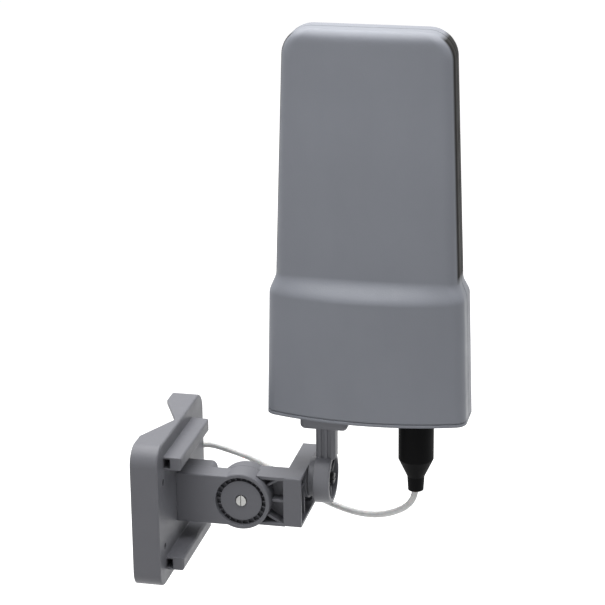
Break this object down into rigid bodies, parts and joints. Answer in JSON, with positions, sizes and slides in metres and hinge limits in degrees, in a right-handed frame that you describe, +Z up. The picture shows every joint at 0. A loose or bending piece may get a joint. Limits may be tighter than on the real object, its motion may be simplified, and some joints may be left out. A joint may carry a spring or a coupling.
{
  "type": "outdoor television antenna",
  "caption": "Flat outdoor TV antenna in a tall rounded housing, on a short stem, a tilt clamp and an elbow clamp that stand on a wall or mast plate, with a coaxial lead.",
  "frame": {"origin": "middle of the four wall holes, on the wall plate's back face", "axes": "+X away from the wall along the arm, +Y to the far side of the arm, +Z up"},
  "size_m": [0.2378, 0.1868, 0.4383],
  "materials": {
    "bracket_grey": "fine matt moulding grain",
    "cover_grey": "satin moulding with a fine grain",
    "steel": "zinc plated",
    "seal_rubber": "matt",
    "lead_jacket": "satin PVC",
    "board_green": "solder mask",
    "copper": "bare copper",
    "tinned_sheet": "tinned sheet",
    "nickel": "nickel plated",
    "tie_black": "nylon"
  },
  "bodies": {
    "wall_side": {"wall_plate": "bracket_grey", "inner_arm": "bracket_grey", "arm_screws": "steel", "cable_rear": "lead_jacket", "cable_hank": "lead_jacket", "hank_tie": "tie_black", "lead_plug": "nickel"},
    "outer_arm": {"outer_arm": "bracket_grey", "elbow_screw": "steel", "elbow_washer": "steel", "elbow_nut": "steel", "tilt_nut": "steel"},
    "head": {"stem": "bracket_grey", "stem_screws": "steel", "tilt_screw": "steel", "tilt_washer": "steel", "bottom_cap": "cover_grey", "cap_screws": "steel", "front_cover": "cover_grey", "rear_cover": "cover_grey", "cover_gasket": "seal_rubber", "cover_screws": "steel", "antenna_board": "board_green", "antenna_element": "copper", "shield_can": "tinned_sheet", "board_screws": "steel", "f_socket": "nickel", "socket_washer": "seal_rubber", "socket_nut": "nickel", "boot": "seal_rubber", "boot_plug": "nickel", "cable_front": "lead_jacket"}
  },
  "joints": [
    {"name": "elbow", "type": "hinge", "parent": "wall_side", "child": "outer_arm", "pos_m": [0.071, 0, 0], "axis": [0, 1, 0], "range_deg": [-12, 55], "deforming": ["cable_rear"]},
    {"name": "tilt", "type": "hinge", "parent": "outer_arm", "child": "head", "pos_m": [0.1171, 0.0325, 0.008], "axis": [1, 0, 0], "range_deg": [-90, 90], "deforming": ["cable_front"]}
  ]
}
